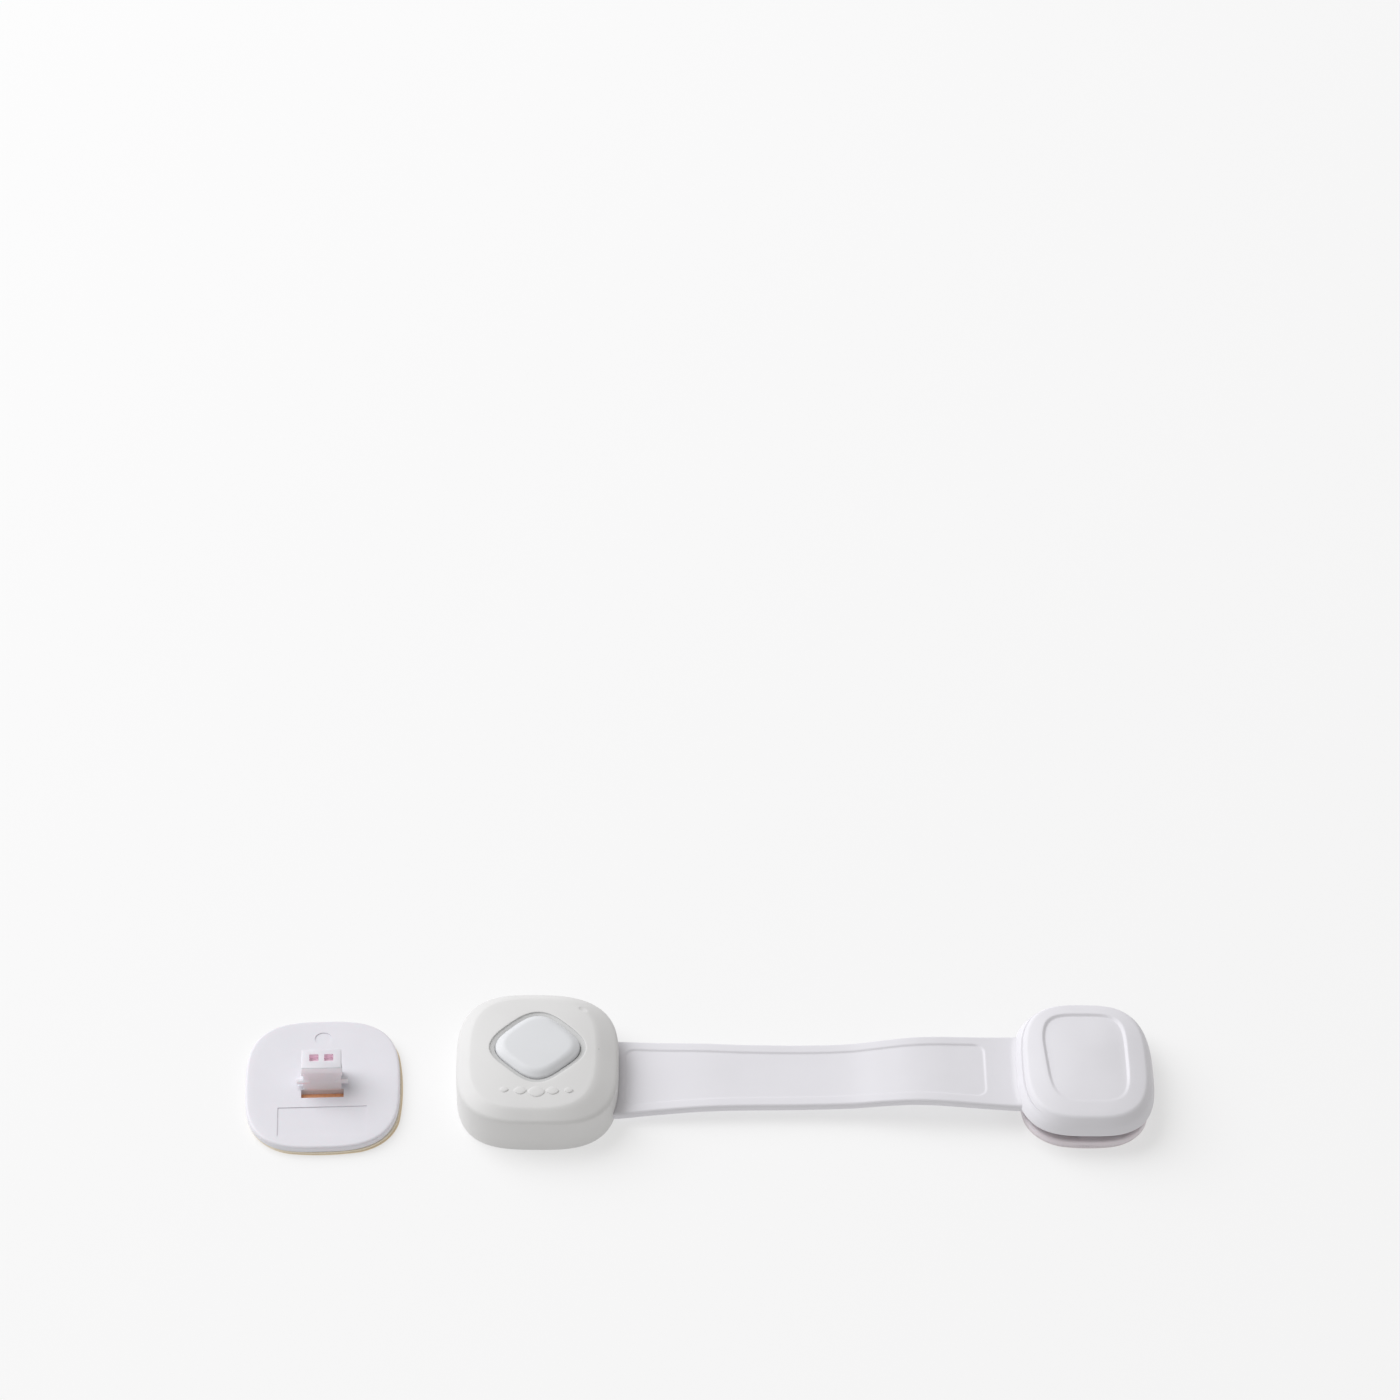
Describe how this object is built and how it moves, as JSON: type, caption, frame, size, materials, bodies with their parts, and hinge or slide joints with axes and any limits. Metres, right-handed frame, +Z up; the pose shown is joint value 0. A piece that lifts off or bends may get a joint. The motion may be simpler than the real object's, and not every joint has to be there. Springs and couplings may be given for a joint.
{
  "type": "adhesive strap lock",
  "caption": "Child safety strap lock: housing with decoy button and hidden latch, flexible strap, rocking cap on an adhesive anchor, and a loose adhesive catch plate.",
  "frame": {"origin": "centre of the whole set's footprint, on the surface that it stands on", "axes": "+X along the strap from the catch to the anchor, +Z up out of the surface"},
  "size_m": [0.2895, 0.0584, 0.0175],
  "materials": {
    "catch_white": "satin moulded",
    "foam": "foam tape",
    "liner": "paper liner",
    "housing_white": "fine matt texture",
    "button_white": "satin moulded",
    "strap_white": "satin, flexible",
    "anchor_white": "satin moulded",
    "inner_plastic": "natural acetal",
    "steel": "zinc plated"
  },
  "bodies": {
    "housing": {"housing_shell": "housing_white", "housing_base": "housing_white", "housing_screws": "steel", "button_keeper": "inner_plastic", "keeper_screws": "steel", "button_spring": "steel", "latch_spring_left": "steel", "latch_spring_right": "steel", "strap_clamp": "inner_plastic", "strap_clamp_screws": "steel", "strap_root": "strap_white"},
    "button": {"decoy_button": "button_white"},
    "slider": {"latch_slider": "inner_plastic", "release_button": "housing_white"},
    "strap_near": {"strap_inner": "strap_white"},
    "strap_far": {"strap_outer": "strap_white"},
    "cap": {"end_cap": "strap_white", "cap_insert": "inner_plastic", "cap_insert_screws": "steel"},
    "anchor": {"anchor_plate": "anchor_white", "pivot_pin": "steel", "anchor_adhesive_foam": "foam", "anchor_release_liner": "liner"},
    "catch": {"catch_plate": "catch_white", "catch_adhesive_foam": "foam", "catch_release_liner": "liner"}
  },
  "joints": [
    {"name": "decoy_press", "type": "slide", "parent": "housing", "child": "button", "axis": [0, 0, -1], "range_m": [0, 0.0017], "stiffness_N_per_m": 500, "springref_m": -0.002, "deforming": ["button_spring"]},
    {"name": "latch_release", "type": "slide", "parent": "housing", "child": "slider", "axis": [0, -1, 0], "range_m": [0, 0.0025], "stiffness_N_per_m": 600, "springref_m": -0.002, "deforming": ["latch_spring_left", "latch_spring_right"]},
    {"name": "strap_root_flex", "type": "hinge", "parent": "housing", "child": "strap_near", "pos_m": [-0.015, 0.0014, 0.0034], "axis": [0, -1, 0], "range_deg": [0, 30], "stiffness_Nm_per_rad": 0.2},
    {"name": "strap_mid_flex", "type": "hinge", "parent": "strap_near", "child": "strap_far", "pos_m": [0.038, 0.0014, 0.005], "axis": [0, -1, 0], "range_deg": [0, 30], "stiffness_Nm_per_rad": 0.2},
    {"name": "strap_end_flex", "type": "hinge", "parent": "strap_far", "child": "cap", "pos_m": [0.091, 0.0014, 0.0075], "axis": [0, -1, 0], "range_deg": [0, 30], "stiffness_Nm_per_rad": 0.2},
    {"name": "cap_tilt", "type": "hinge", "parent": "cap", "child": "anchor", "pos_m": [0.1225, 0.0014, 0.009], "axis": [0, 1, 0], "range_deg": [-7, 7]},
    {"name": "catch_lift", "type": "slide", "parent": "housing", "child": "catch", "axis": [0, 0, 1], "range_m": [0, 0.04]}
  ]
}
